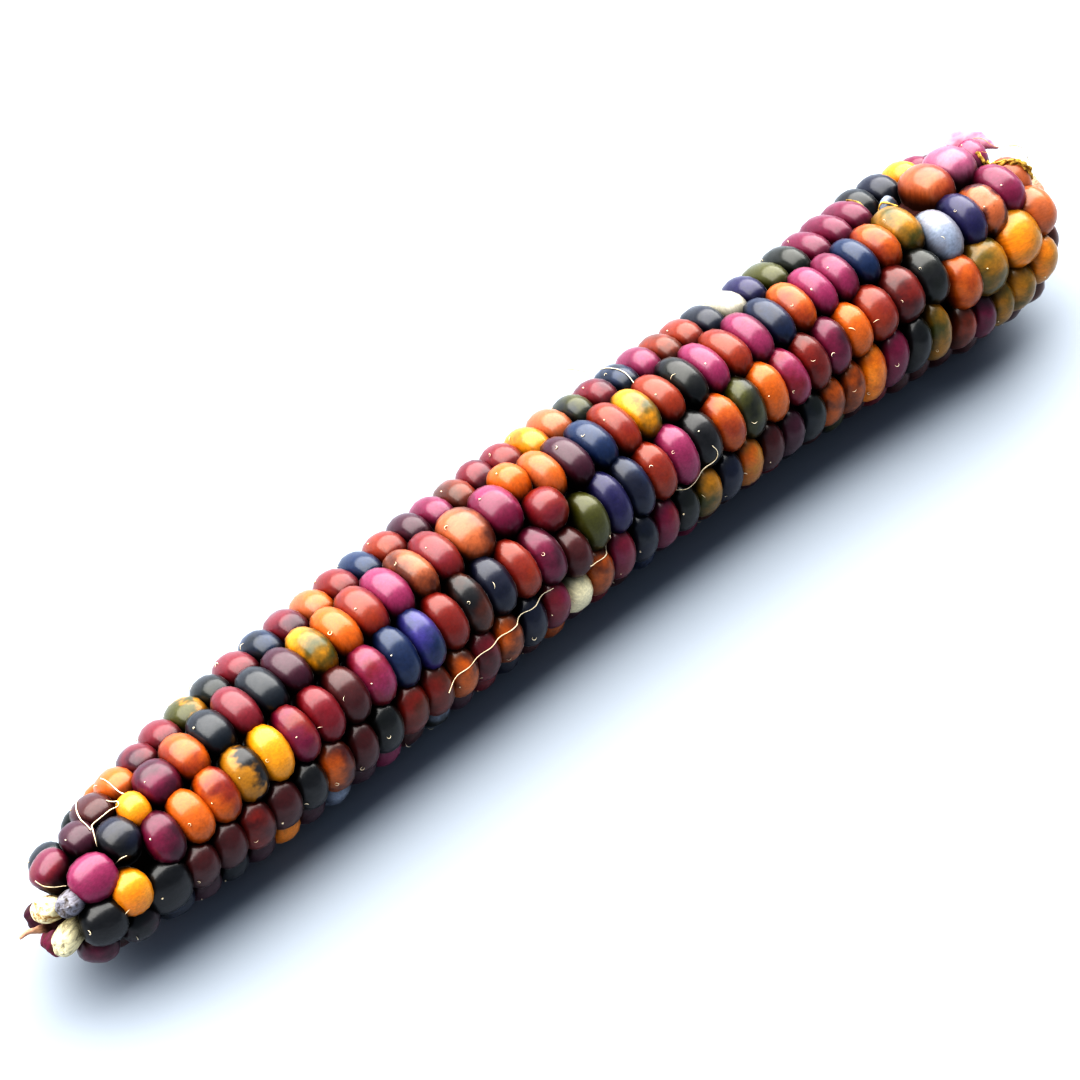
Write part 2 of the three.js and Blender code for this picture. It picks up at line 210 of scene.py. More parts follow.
# %% [markdown]
# ## The form of the ear
# A place on the ear is a station, in millimetres from the foremost kernel, and an angle round it, from
# straight up towards -Y. These formulas also shaped the solids: a gentle bow, a taper, a swelling at the
# butt and a dome at each end. Points picked by hand would drift away.

# %% The form of the ear
MIDDLE_STATION = 92.4                      # the station that sits at X = 0
BOW, BOW_STATION, BOW_REACH, SIDE_SHIFT = 3.0, 85.5, 79.2, 0.36
AXIS_HEIGHT, AXIS_RISE = 11.2, 0.0218      # at station 0, and for every millimetre
CROWN_RADIUS = 13.1
TIP_TAPER, TIP_TAPER_LENGTH = 6.0, 26
SWELLING, SWELLING_START, SWELLING_END = 1.7, 130, 168
TIP_DOME_START, TIP_DOME_LENGTH, TIP_DOME_FULLNESS = -1, 8, 2.2
BUTT_DOME_START, BUTT_DOME_LENGTH, BUTT_DOME_FULLNESS = 165, 21, 3
LEAN_STEP = 0.4


def smooth(value, low, high):
    t = min(1.0, max(0.0, (value - low) / (high - low)))
    return t * t * (3 - 2 * t)


def bell(distance, width):
    return math.exp(-(distance / width) ** 2)


def full(value, fullness):
    """The other coordinate of a rounded square outline: 2 gives a circle, more gives fuller corners."""
    return max(0.0, 1 - abs(value) ** fullness) ** (1 / fullness)


def axis_point(station):
    across = BOW * (1 - ((station - BOW_STATION) / BOW_REACH) ** 2) - SIDE_SHIFT
    return Vector((station - MIDDLE_STATION, across, AXIS_HEIGHT + AXIS_RISE * station))


def crown_radius(station):
    plain = (CROWN_RADIUS - TIP_TAPER * math.exp(-station / TIP_TAPER_LENGTH)
             + SWELLING * smooth(station, SWELLING_START, SWELLING_END))
    if station < TIP_DOME_START + TIP_DOME_LENGTH:
        from_end = max(0.0, (station - TIP_DOME_START) / TIP_DOME_LENGTH)
        return plain * full(1 - from_end, TIP_DOME_FULLNESS)
    if station > BUTT_DOME_START:
        return plain * full(min(1.0, (station - BUTT_DOME_START) / BUTT_DOME_LENGTH), BUTT_DOME_FULLNESS)
    return plain


def radial_at(angle):
    return Vector((0, -math.sin(math.radians(angle)), math.cos(math.radians(angle))))


def directions(station, angle):
    """Radial direction, the kernel's own outward direction, and the direction along the row."""
    radial, across = radial_at(angle), radial_at(angle + 90)
    fall = crown_radius(station - LEAN_STEP) - crown_radius(station + LEAN_STEP)
    lean = math.atan(fall / (2 * LEAN_STEP))
    out = radial * math.cos(lean) + Vector((math.sin(lean), 0, 0))
    return radial, out, out.cross(across)


print("crown radius at the tip, middle and butt:", [round(crown_radius(s), 1) for s in (5, 85, 165)])

# %% [markdown]
# ## Pigments
# Colour in flint corn sits in thin layers: red and purple anthocyanins in the skin, yellow carotenes in the
# starch, blue in between. So one ear holds every mixture from ivory to black. Images would have to be
# painted kernel by kernel. Here each gets one pigment by name, and a second one where the layers show
# through each other.

# %% Pigments
PIGMENTS = """
    ivory=#eadfba white=#b4ae9e yellow=#dd980c gold=#a8760c amber=#ea9010 orange=#bc6206 peach=#ac6238
    coral=#8c3410 red=#7a1c0a crimson=#760c1e rose=#761c2a pink=#8a2c56 mauve=#6c1c3c magenta=#700c3a
    plum=#400c24 garnet=#460a0a brown=#56240a olive=#46460a moss=#0f1609 black=#030508 slate=#0a1620
    navy=#0a132c blue=#102a4e indigo=#1f194a lavender=#443a80 blush=#a0627a silver=#8f98a8 ash=#86848c"""
PIGMENTS = {name: linear(value) for name, value in (word.split("=") for word in PIGMENTS.split())}
HIDDEN_MIX = ("garnet crimson rose plum plum magenta coral coral orange brown brown/orange slate navy black "
              "moss olive/black pink garnet garnet rose").split()
CLOUDED, BLOTCHED = 0.22, 0.06             # half the width of the edge between two pigments


def pigment_pair(word):
    """rose/plum is rose clouded with plum, and rose*plum is rose with blotches of plum."""
    first, _, second = word.replace("*", "/").partition("/")
    return PIGMENTS[first], PIGMENTS[second or first], BLOTCHED if "*" in word else CLOUDED


print("pigments:", len(PIGMENTS))

# %% [markdown]
# ## Kernel shapes
# A kernel on the ear shows only its crown: long across the row, short along it, pressed flat against its
# neighbours, and narrowing to a root in the cob. A scaled sphere would look like a bead, so the shape is
# made from level rings whose length fills up faster than their width. A hundred faces are enough for shapes
# repeated hundreds of times.

# %% Kernel shapes
KERNEL_SIDES, FINE_SIDES = 16, 36
CROWN_RINGS = (17, 36, 54, 71, 87)         # degrees down from the top of the crown
FINE_RINGS = (10, 20, 30, 40, 50, 60, 70, 80, 88)
ROOT_HEIGHT, ROOT_SHARE, ROOT_POINT = -0.75, 0.86, 0.5
OUTLINE_FULLNESS = 2.25
CROWN_FULLNESS = 2.05
CAP_SHARE = 0.70

shapes_collection = bpy.data.collections.new("kernel_shapes")
scene.collection.children.link(shapes_collection)


def bridge(mesh, rings):
    """Faces between each ring of vertices and the next. A ring of one vertex closes an end."""
    for before, after in zip(rings, rings[1:]):
        for i in range(max(len(before), len(after))):
            places = ((before, i), (before, i + 1), (after, i + 1), (after, i))
            mesh.faces.new(tuple(dict.fromkeys(ring[k % len(ring)] for ring, k in places)))


def smooth_object(name, mesh, collection=scene.collection):
    """The finished shape as a smoothly shaded object."""
    bmesh.ops.recalc_face_normals(mesh, faces=mesh.faces)
    data = bpy.data.meshes.new(name)
    mesh.to_mesh(data)
    mesh.free()
    data.shade_smooth()
    return add_object(name, data, collection)


def rounded(value):
    return math.copysign(abs(value) ** (2 / OUTLINE_FULLNESS), value)


def kernel_ring(height, width, length, sides):
    turns = [2 * math.pi * i / sides for i in range(sides)]
    return [(rounded(math.cos(a)) * length, rounded(math.sin(a)) * width, height) for a in turns]


def kernel_shape(name, slump=0.0, dimple=0.0, crease=0.0, crumple=0.0, sides=KERNEL_SIDES,
                 crown=CROWN_RINGS):
    rings = [[(0, 0, 1)]]
    for ring_angle in crown:
        height = math.cos(math.radians(ring_angle)) ** (2 / CROWN_FULLNESS)
        into_cap = max(0.0, (height - 1 + CAP_SHARE) / CAP_SHARE)
        rings.append(kernel_ring(height, full(height, CROWN_FULLNESS), full(into_cap, CROWN_FULLNESS), sides))
    rings += [kernel_ring(ROOT_HEIGHT, ROOT_SHARE, ROOT_SHARE, sides), [(0, 0, ROOT_HEIGHT - ROOT_POINT)]]
    mesh = bmesh.new()
    bridge(mesh, [[mesh.verts.new(p) for p in ring] for ring in rings])
    for vert in mesh.verts:
        x, y, z = vert.co
        if z > 0:
            vert.co.y += slump * z * (1 - y * y)
            vert.co.z -= dimple * bell(math.hypot(x + 0.2, y), 0.4)
            vert.co.z -= crease * bell(y - 0.15, 0.22) * (1 - x * x)
            fold = noise.noise(Vector((1.3 * x, 2.2 * y, 1.3 * z + 5))) - 0.5 * abs(math.sin(5 * y + 2 * x))
            vert.co *= 1 + crumple * fold
    made = smooth_object(name, mesh, shapes_collection)
    place = made.data.attributes.new("kernel_place", "FLOAT_VECTOR", "POINT")
    place.data.foreach_set("vector", [c for v in made.data.vertices for c in v.co])
    return made


kernel_shapes = [                          # named in the order of their numbers: Blender sorts by name
    kernel_shape("kernel_0_plump"),
    kernel_shape("kernel_1_leaning", slump=0.10),
    kernel_shape("kernel_2_leaning_back", slump=-0.10),
    kernel_shape("kernel_3_dimpled", dimple=0.05),
    kernel_shape("kernel_4_creased", crease=0.09),
    kernel_shape("kernel_5_shrivelled", dimple=0.12, crumple=0.09, sides=FINE_SIDES, crown=FINE_RINGS),
]
CREASED, SHRIVELLED = 4, 5
print("kernel shapes:", [(o.name, len(o.data.polygons)) for o in kernel_shapes])

# %% [markdown]
# ## Kernel skin
# The skin of a dry flint kernel is a clear, waxy film over the pigment, with a soft gloss and a thin bright
# rim where it turns away. Its colour is painted darker down the sides towards the root, as shade between
# the kernels, and a little paler in patches on the crown, partly a waxy bloom and partly painted sheen. The
# pigment runs down in faint lines, and clouds or blotches where two layers mix. The pattern reads each
# kernel's own place and not the object's, so it never slides from one kernel to the next.

# %% Kernel skin
KERNEL_HALF_SIZE = (2.1, 3.9, 3.8)         # millimetres, so that the patterns below have real sizes

kernel_skin, tree = new_material("waxy_kernel_skin")
place = read(tree, "kernel_place")
along_row, _, height = add_node(tree, "ShaderNodeSeparateXYZ", {"Vector": place}).outputs
pattern_start, edge, _ = add_node(
    tree, "ShaderNodeSeparateXYZ", {"Vector": read(tree, "character")}).outputs
own_place = calculate_vector(tree, "MULTIPLY", place, KERNEL_HALF_SIZE)
own_place = calculate_vector(tree, "ADD", own_place, pattern_start)

# The second pigment shows through in soft clouds 3 mm across, or in blotches where the edge is hard. It
# gathers a little on the butt's side of the kernel.
clouds = grainy(tree, own_place, scale=0.33, detail=3.0, roughness=0.5)
clouds = calculate(tree, "MULTIPLY_ADD", along_row, 0.13, clouds)
edge_range = [calculate(tree, operation, 0.5, edge) for operation in ("SUBTRACT", "ADD")]
covered = spread(tree, clouds, edge_range, interpolation_type="SMOOTHSTEP")
pigment = blend(tree, covered, read(tree, "pigment", "Color"), read(tree, "second_pigment", "Color"))

# Faint lines run from crown to root, and the colour is painted darker down the sides: painted shade between
# kernels.
lines = grainy(tree, own_place, scale=(3.2, 3.2, 0.35), detail=3.0, roughness=0.6)
shade = calculate(
    tree, "MULTIPLY", spread(tree, lines, (0.3, 0.7), (0.82, 1.16)),
    spread(tree, height, (-0.15, 0.65), (0.12, 0.8), interpolation_type="SMOOTHSTEP"))
painted_shade_skin_colour = add_node(tree, "ShaderNodeVectorMath", {0: pigment, "Scale": shade}, operation="SCALE")

# A thin waxy bloom lies in patches on the crown, as on a plum, and greys the pigment a little.
# This paler crown is partly painted sheen.
bloom_and_painted_sheen = calculate(tree, "MULTIPLY", grainy(tree, own_place, scale=0.8, detail=4.0, roughness=0.6),
                  spread(tree, height, (0.3, 1.0), (0.0, 0.05)))

# Fine pitting, a tenth of a millimetre deep at most, breaks the sheen up a little.
pitting = grainy(tree, own_place, scale=5.0, detail=2.0, roughness=0.5)
finish_material(tree, {
    "Base Color": blend(tree, bloom_and_painted_sheen, painted_shade_skin_colour.outputs["Vector"], "#d9cfd0"),
    "Roughness": spread(tree, pitting, (0.3, 0.7), (0.36, 0.45)), "IOR": 1.5, "Specular IOR Level": 0.35,
    "Coat Weight": 0.6, "Coat Roughness": 0.19, "Sheen Weight": 0.2, "Sheen Roughness": 0.15,
    "Normal": relief(tree, pitting, strength=0.25, depth_in_mm=0.06)})

# %% [markdown]
# ## Seating the kernels
# Each row starts as bare points, one for each kernel, that carry its turn, size, shape and pigments. A small
# Geometry Nodes tree puts a kernel shape on every point, with a little spread in size and tilt, as no two
# kernels had quite the same room. Duplicated objects would do the same, but one tree serves every row. Each
# row is then turned into a plain mesh.

# %% Seating the kernels
SIZE_SPREAD, TILT_SPREAD = 0.04, 0.06

seating = bpy.data.node_groups.new("seat_kernels", "GeometryNodeTree")
for name, kind, default in (
        ("Geometry", "Geometry", None), ("Kernel Shapes", "Collection", None),
        ("Size Spread", "Float", SIZE_SPREAD), ("Tilt Spread", "Float", TILT_SPREAD),
        ("Seed", "Int", 3), ("Skin", "Material", None)):
    socket = seating.interface.new_socket(name, in_out="INPUT", socket_type="NodeSocket" + kind)
    if default is not None:
        socket.default_value = default
seating.interface.new_socket("Geometry", in_out="OUTPUT", socket_type="NodeSocketGeometry")


def of_point(name, kind="FLOAT_VECTOR"):
    return add_node(seating, "GeometryNodeInputNamedAttribute", {"Name": name},
                    data_type=kind).outputs["Attribute"]


def random_vector(low, high, seed):
    return add_node(seating, "FunctionNodeRandomValue", {0: low, 1: high, "Seed": seed},
                    data_type="FLOAT_VECTOR").outputs["Value"]


def rotation(euler):
    return add_node(seating, "FunctionNodeEulerToRotation", {"Euler": euler}).outputs[0]


given = add_node(seating, "NodeGroupInput").outputs
shapes = add_node(seating, "GeometryNodeCollectionInfo", {
    "Collection": given["Kernel Shapes"], "Separate Children": True, "Reset Children": True})
least, most = (calculate(seating, operation, 1.0, given["Size Spread"]) for operation in ("SUBTRACT", "ADD"))
own_size = calculate_vector(seating, "MULTIPLY", of_point("size"), random_vector(least, most, given["Seed"]))
other_way = calculate(seating, "MULTIPLY", given["Tilt Spread"], -1.0)
tilt = random_vector(other_way, given["Tilt Spread"], calculate(seating, "ADD", given["Seed"], 1.0))
own_turn = add_node(seating, "FunctionNodeRotateRotation", {
    "Rotation": rotation(of_point("turn")), "Rotate By": rotation(tilt)}, rotation_space="LOCAL")
seated = add_node(seating, "GeometryNodeInstanceOnPoints", {
    "Points": given["Geometry"], "Instance": shapes.outputs["Instances"], "Pick Instance": True,
    "Instance Index": of_point("shape", "INT"), "Rotation": own_turn.outputs[0], "Scale": own_size})
realized = add_node(seating, "GeometryNodeRealizeInstances", {"Geometry": seated.outputs["Instances"]})
dressed = add_node(seating, "GeometryNodeSetMaterial", {
    "Geometry": realized.outputs["Geometry"], "Material": given["Skin"]})
add_node(seating, "NodeGroupOutput", {"Geometry": dressed.outputs["Geometry"]})


def make_plain(source, name):
    """The evaluated object as a plain mesh that rests on the table, with nothing left to compute."""
    depsgraph = bpy.context.evaluated_depsgraph_get()
    mesh = bpy.data.meshes.new_from_object(source.evaluated_get(depsgraph), depsgraph=depsgraph,
                                           preserve_all_data_layers=True)
    bpy.data.objects.remove(source)
    for vert in mesh.vertices:
        vert.co.z = max(0.0, vert.co.z)
    mesh.name = name
    return add_object(name, mesh)


def hand_over(piece, slot_name, *nodes):
    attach(piece, "root")
    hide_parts(*nodes)


print("seating tree nodes:", len(seating.nodes))

# %% [markdown]
# ## Kernels on the ear
# A kernel's crown height is a fixed share of the ear's radius, and its width fills the angle that its row
# has to itself. So kernels shrink with the ear and always meet at the borders between rows. Sizes set one by
# one would leave gaps wherever the ear tapers.

# %% Kernels on the ear
CROWN_SHARE, LEAST_RADIUS = 0.29, 9.0      # the crown's height, as a share of the radius or of the least one
PRESSED, PRESSED_ACROSS = 1.14, 1.19       # how far a kernel is squeezed into its neighbours
COMMON_SHAPES = (0, 0, 1, 2, 3)
dice = random.Random(11)
kernel_pieces, seated_kernels = [], []


def crown_height(radius):
    return CROWN_SHARE * max(radius, LEAST_RADIUS)


def one_kernel(station, angle, half_length, half_width, colours, lift=0.0, shape=None):
    radius = crown_radius(station) + lift
    radial, out, along = directions(station, angle)
    centre = axis_point(station) + radial * radius - out * crown_height(radius)
    turn = Matrix((along, out.cross(along), out)).transposed().to_euler()
    first, second, edge = pigment_pair(colours)
    return {
        "centre": centre * MM, "turn": turn[:],
        "size": (half_length * MM, half_width * MM, crown_height(radius) * MM),
        "shape": dice.choice(COMMON_SHAPES) if shape is None else shape,
        "pigment": first, "second_pigment": second,
        "character": (dice.uniform(0, 90), edge, 0.0),      # where its pattern starts, and its edge
        "station": station, "angle": angle, "half_length": half_length, "half_width": half_width,
    }


def kernel_in_row(station, angle, half_angle, half_length, colours, lift, shape=None, widened=1.0):
    """A kernel as wide as the angle that its row has to itself."""
    radius = crown_radius(station) + lift
    room = (radius - crown_height(radius)) * math.tan(math.radians(half_angle))
    return one_kernel(station, angle, half_length, room * PRESSED_ACROSS * widened, colours, lift, shape)


VECTOR, COLOUR, WHOLE_NUMBER = ("FLOAT_VECTOR", "vector"), ("FLOAT_COLOR", "color"), ("INT", "value")
ATTRIBUTES = {"turn": VECTOR, "size": VECTOR, "shape": WHOLE_NUMBER, "pigment": COLOUR,
              "second_pigment": COLOUR, "character": VECTOR}


def seat(name, kernels, skin, seed, tilt_spread=TILT_SPREAD, shapes=shapes_collection):
    mesh = bpy.data.meshes.new(name + "_points")
    mesh.from_pydata([k["centre"] for k in kernels], [], [])
    for attribute, (kind, field) in ATTRIBUTES.items():
        made = mesh.attributes.new(attribute, kind, "POINT")
        made.data.foreach_set(field, np.ravel([k[attribute] for k in kernels]))
    source = add_object(name + "_points", mesh)
    modifier = source.modifiers.new("seat_kernels", "NODES")
    modifier.node_group = seating
    values = {"Kernel Shapes": shapes, "Tilt Spread": tilt_spread, "Seed": seed, "Skin": skin}
    for item in seating.interface.items_tree:                # inputs are stored under their identifiers
        if item.in_out == "INPUT" and item.name in values:
            modifier[item.identifier] = values[item.name]
    return make_plain(source, name)


def plant(name, kernels, seed, *nodes, skin=kernel_skin, slot_name="kernels", tilt_spread=TILT_SPREAD):
    """Seats the kernels and hands them over. Only the sound ones are kept for the silk that grew on them."""
    kernel_pieces.append(seat(name, kernels, skin, seed, tilt_spread))
    hand_over(kernel_pieces[-1], slot_name, *nodes)
    if skin == kernel_skin:
        seated_kernels.extend(kernels)


def colour_words(words, count):
    return words.split() or [dice.choice(HIDDEN_MIX) for _ in range(count)]


print("a kernel at mid ear is", round(2 * crown_height(crown_radius(85)), 1), "mm high, crown and root")

# %% [markdown]
# ## The eight rows
# Eight rows run the length of the ear with a slow twist. They could be spaced evenly, but real kernels
# aren't quite even. So a row is described by where it starts and ends and how far its middle kernels have
# moved along, and the few that had more room are listed. Rows on the underside draw their colours at random
# from the same mix.

# %% The eight rows
BODY_ROWS = [
    # first and last station, shift of the middle, colours from the tip
    (12.6, 152.0, 1.0, ""),
    (13.1, 154.8, 1.3, """
     garnet orange plum/rose rose olive*gold moss/slate rose slate/blue rose/plum peach/orange red/rose
     blue coral/red plum magenta/pink brown/coral rose/plum rose/red yellow/orange peach slate/olive
     rose/plum slate/blue pink/mauve coral/brown coral/red navy/slate white indigo olive moss
     magenta/mauve magenta/mauve mauve/magenta"""),
    (20.5, 156.2, 0.2, """
     magenta/plum coral/orange slate rose slate plum yellow/olive orange coral/rose pink brown/peach
     rose/red peach/brown magenta*pink orange peach/orange plum blue coral/red yellow/olive coral
     black/moss pink coral/red pink/mauve navy/blue coral/orange pink pink/mauve blue coral/orange
     olive/gold"""),
    (16.6, 154.7, 0.0, """
     magenta/plum orange orange/red gold*black yellow magenta/red crimson garnet crimson/pink blue
     lavender/blue red black/brown navy red/coral magenta/plum garnet olive indigo navy/blue coral/red
     pink black coral/orange olive/moss orange crimson/pink red/garnet magenta/plum orange coral/red
     garnet/red black/moss"""),
    (14.4, 153.6, 1.2, """
     black garnet garnet red/garnet garnet black orange/garnet garnet black/moss red/brown red/brown
     orange/brown rose/garnet orange/brown navy/slate rose/magenta ivory orange/brown magenta/rose
     navy/slate magenta/rose black/moss olive/gold navy orange/gold garnet plum slate/moss orange/brown
     brown/orange amber/orange magenta black/moss olive/gold"""),
    (15.9, 153.5, 1.0, """
     slate/blue plum slate plum amber plum silver/slate plum pink garnet moss/silver plum crimson navy
     garnet orange/brown plum crimson garnet blue/slate plum magenta brown garnet plum crimson black
     garnet moss/olive garnet crimson garnet garnet"""),
    (14.2, 153.9, 1.0, ""),
    (13.6, 152.8, 1.0, ""),
]
ROW_ANGLE = 45.0
UNDERSIDE_ROW = 3                          # the row that faces straight up at the tip is row 0
KERNELS_IN_HIDDEN_ROW = 34
TALLEST_LIFT = 1.0
TWIST_START, TWIST, UNTWIST = 37.5, 15.5, 5
LENGTH_SPREAD = 0.04
LONG_KERNELS = {                           # by row and place in the row
    -1: {1: 1.1, 2: 1.1, 12: 1.08, 13: 1.42, 14: 1.2, 15: 1.02, 16: 0.95, 30: 0.93, 32: 1.12},
    0: {31: 1.12, 32: 1.28, 33: 1.08},
    1: {1: 1.3},
}
WIDE_KERNELS = {(1, 1): 1.25}

# Degrees that the borders after these rows give way: to the wedged kernel, at the tip, and to the butt rows.
WEDGED_STATION, WEDGED_REACH = 84.3, 3.4
GIVE_WAY = {-2: (-11.0, -11.0), -1: (-20.0, 18.0), 0: (12.0, 12.0), 1: (2.0, 2.0)}
GATHER_AT_TIP = {-3: 13.0, -2: 15.0}
SPREAD_AT_BUTT = {-2: 5.0, -1: 1.0, 0: -4.0}


def border_angle(row, station, side):
    """The border after a row. The wedged kernel parts one border in two: side 0 is before it, 1 after."""
    twist = TWIST_START + TWIST * smooth(station, -20, 130) - UNTWIST * smooth(station, 122, 160)
    return (twist + (row + 0.5) * ROW_ANGLE
            + GIVE_WAY.get(row, (0.0, 0.0))[side] * bell(station - WEDGED_STATION, WEDGED_REACH)
            + GATHER_AT_TIP.get(row, 0.0) * bell(station - 13, 7)
            + SPREAD_AT_BUTT.get(row, 0.0) * smooth(station, 126, 150))


def underside_lift(station, angle):
    """How much further out the kernels of the underside reach, so that they rest on the table."""
    level = axis_point(station).z / -math.cos(math.radians(angle)) - crown_radius(station)
    fade = smooth(station, 16, 26) * (1 - smooth(station, 176, 180))
    return min(TALLEST_LIFT, max(0.0, level)) * fade


def row_stations(row, first, last, count, middle_shift):
    """Stations of a row's kernels and their half lengths, from how much room each one took."""
    lengths = []
    for i in range(count):
        drawn_out = 1 + 4 * middle_shift / (last - first) * (1 - 2 * i / (count - 1))
        lengths.append(drawn_out * dice.uniform(1 - LENGTH_SPREAD, 1 + LENGTH_SPREAD)
                       * LONG_KERNELS.get(row, {}).get(i + 1, 1.0))
    steps = [(a + b) / 2 for a, b in zip(lengths, lengths[1:])]
    scale = (last - first) / sum(steps)
    stations = [first + scale * sum(steps[:i]) for i in range(count)]
    return stations, [length * scale / 2 * PRESSED for length in lengths]


for index, (first, last, middle_shift, words) in enumerate(BODY_ROWS):
    row = index - 3
    count = len(words.split()) or KERNELS_IN_HIDDEN_ROW
    stations, lengths = row_stations(row, first, last, count, middle_shift)
    kernels = []
    for station, half_length, word in zip(stations, lengths, colour_words(words, count)):
        upper, lower = border_angle(row - 1, station, 1), border_angle(row, station, 0)
        angle = (upper + lower) / 2
        kernels.append(kernel_in_row(
            station, angle, (lower - upper) / 2, half_length, word,
            lift=underside_lift(station, angle) if row == UNDERSIDE_ROW else 0.0,
            widened=WIDE_KERNELS.get((row, len(kernels) + 1), 1.0)))
    plant(f"kernels_of_row_{index + 1}", kernels, row + 20, f"kernel_row_{index + 1}")
print("kernels in the eight rows:", len(seated_kernels))

# %% [markdown]
# ## The butt's nine rows
# Where the ear swells towards its shank there's room for a ninth row. These short rows bend round with the
# swelling and curl in towards the shank. Their kernels are too few and too uneven for one spacing, so each
# has its station.

# %% The butt's nine rows
CURL = [177.4, 181.0, 183.8]
BUTT_ROWS = [
    # stations of the kernels and their colours, from the first kernel of the row to the shank
    ([159.6, 164.3, 168.8, 173.2] + CURL, ""),
    ([158.9, 163.7, 168.4, 173.0] + CURL, ""),
    ([159.8, 164.6, 169.8, 174.2] + CURL, "black/slate navy amber magenta garnet plum brown"),
    ([166.6, 172.9, 178.2, 181.6], "peach/coral blush/pink pink/blush brown/plum"),
    ([160.4, 165.2, 169.4, 174.8, 179.4, 182.4],
     "silver/ash indigo peach*garnet magenta/pink peach/brown brown"),
    ([159.8, 164.7, 172.3, 178.4, 182.2], "orange/coral olive/gold amber/gold peach/orange brown"),
    ([159.0, 162.9, 166.8, 171.0, 176.6, 181.2],
     "brown/coral magenta/plum olive/gold gold/olive amber/gold brown"),
    ([159.0, 163.6, 168.3, 173.0] + CURL, "garnet garnet crimson garnet brown garnet brown"),
    ([159.4, 164.1, 168.7, 173.1] + CURL, ""),
]
BUTT_ROW_ANGLE, BUTT_START, BUTT_BEND = 40.0, 21, 15
LONGEST_GAP, LAST_GAP = 5.2, 2.6
UNDERSIDE_BUTT_ROW = 4
SPLIT_KERNEL = (0, 2)                      # row and place in the row


def butt_row_angle(row, station):
    spread_out = 6.5 * bell(row + 0.3, 1.6) + 4 * bell(row, 0.5) * smooth(station, 166, 173)
    return BUTT_START + row * BUTT_ROW_ANGLE + spread_out - BUTT_BEND * smooth(station, 168, 179)


def half_lengths(stations):
    first_gap = min(LONGEST_GAP, stations[1] - stations[0])
    ends = [stations[0] - first_gap] + stations + [stations[-1] + LAST_GAP]
    return [(after - before) / 4 * PRESSED for before, after in zip(ends, ends[2:])]


def worn_away(station, angle):
    """On top, beyond the last good kernels, the butt is hollow where the husk was torn off."""
    return 3.2 * smooth(station, 177.6, 182) * bell(angle + 25, 40) + 2.2 * smooth(station, 178, 183)


for index, (stations, words) in enumerate(BUTT_ROWS):
    row = index - 4
    colours = colour_words(words, len(stations))
    kernels = []
    for station, half_length, word in zip(stations, half_lengths(stations), colours):
        angle = butt_row_angle(row, station)
        kernels.append(kernel_in_row(
            station, angle, BUTT_ROW_ANGLE / 2, half_length, word,
            lift=underside_lift(station, angle) if row == UNDERSIDE_BUTT_ROW else -worn_away(station, angle),
            shape=CREASED if (row, len(kernels)) == SPLIT_KERNEL else None))
    plant(f"kernels_of_butt_{index + 1}", kernels, row + 40, f"butt_row_{index + 1}")
print("butt rows:", len(BUTT_ROWS), "kernels so far:", len(seated_kernels))

# %% [markdown]
# ## Shrivelled kernel skin
# A kernel that never filled keeps only its skin: a pale, papery bag in fine folds. The bottom of each fold
# is painted darker, in a brown tint of the second pigment, as painted shade in the folds. Folds are stretched
# noise that also drives the relief, so colour and form agree. Marble veins would cross each other, and folds
# run from crown to root.

# %% Shrivelled kernel skin
papery_kernel_skin, tree = new_material("papery_shrivelled_skin")
folds = grainy(tree, read(tree, "kernel_place"), scale=(2.6, 2.6, 1.1), detail=5.0, roughness=0.62,
               distortion=0.8)
# Painted shade: the bottom of each fold gets a dark brown tint of the second pigment.
painted_fold_shade = blend(tree, 0.7, read(tree, "second_pigment", "Color"), "#4a3c2c")
finish_material(tree, {
    "Base Color": blend(tree, spread(tree, folds, (0.36, 0.56)), painted_fold_shade, read(tree, "pigment", "Color")),
    "Roughness": spread(tree, folds, (0.3, 0.7), (0.6, 0.42)), "IOR": 1.45,
    "Normal": relief(tree, folds, strength=0.6, depth_in_mm=0.4)})

# %% [markdown]
# ## Single kernels at the tip
# The tip filled poorly: its kernels sit loosely in whorls, and a few dried to wrinkled bags. One kernel is
# wedged between two rows, and a small one sits where eight rows become nine. No rule places them, so each
# has its own station and angle.

# %% Single kernels at the tip
TIP_KERNELS = [
    # station, angle, length, width, lift, colours
    (3.9, -30, 5.2, 5.5, 0.1, "rose/mauve"), (9.1, -20, 4.6, 5.6, 0.1, "plum"),
    (6.2, -72, 5.0, 5.2, -0.2, "slate"), (6.9, 25, 6.0, 6.0, 0.3, "pink"),
    (12.3, 13, 5.0, 6.3, 0.0, "black/navy"), (16.1, 2, 3.9, 4.9, 0.0, "amber/yellow"),
    (9.8, 62, 5.2, 6.3, 0.3, "amber/yellow"), (4.9, 73, 5.6, 6.2, 0.2, "black"),
    (9.9, 108, 5.0, 6.0, 0.0, "black/plum"), (4.2, 126, 5.0, 5.6, 0.0, "plum/mauve"),
    (8.6, 154, 5.0, 5.8, 0.0, "garnet"), (7.0, 202, 5.3, 5.8, 0.0, "slate"),
    (7.8, 246, 4.8, 5.3, 0.0, "rose"),
]
WITHERED_KERNELS = [
    (-0.3, -4, 3.2, 3.6, 0.6, "ivory/yellow"), (2.3, 28, 3.3, 3.5, 0.6, "ash/slate"),
    (-0.3, 84, 3.0, 4.2, 0.9, "ivory"), (0.6, 178, 3.2, 4.2, 0.0, "mauve/brown"),
    (0.9, 236, 3.4, 4.0, 0.0, "plum"),
]
INSET_KERNELS = [(84.4, 26, 5.8, 6.4, 0.1, "rose/red"), (158.9, -14, 3.0, 3.2, -0.6, "silver/slate")]


def single_kernels(listed, shape=None):
    return [one_kernel(station, angle, length / 2, width / 2, colours, lift, shape)
            for station, angle, length, width, lift, colours in listed]


def numbered(name, count):
    return [f"{name}_{i + 1}" for i in range(count)]


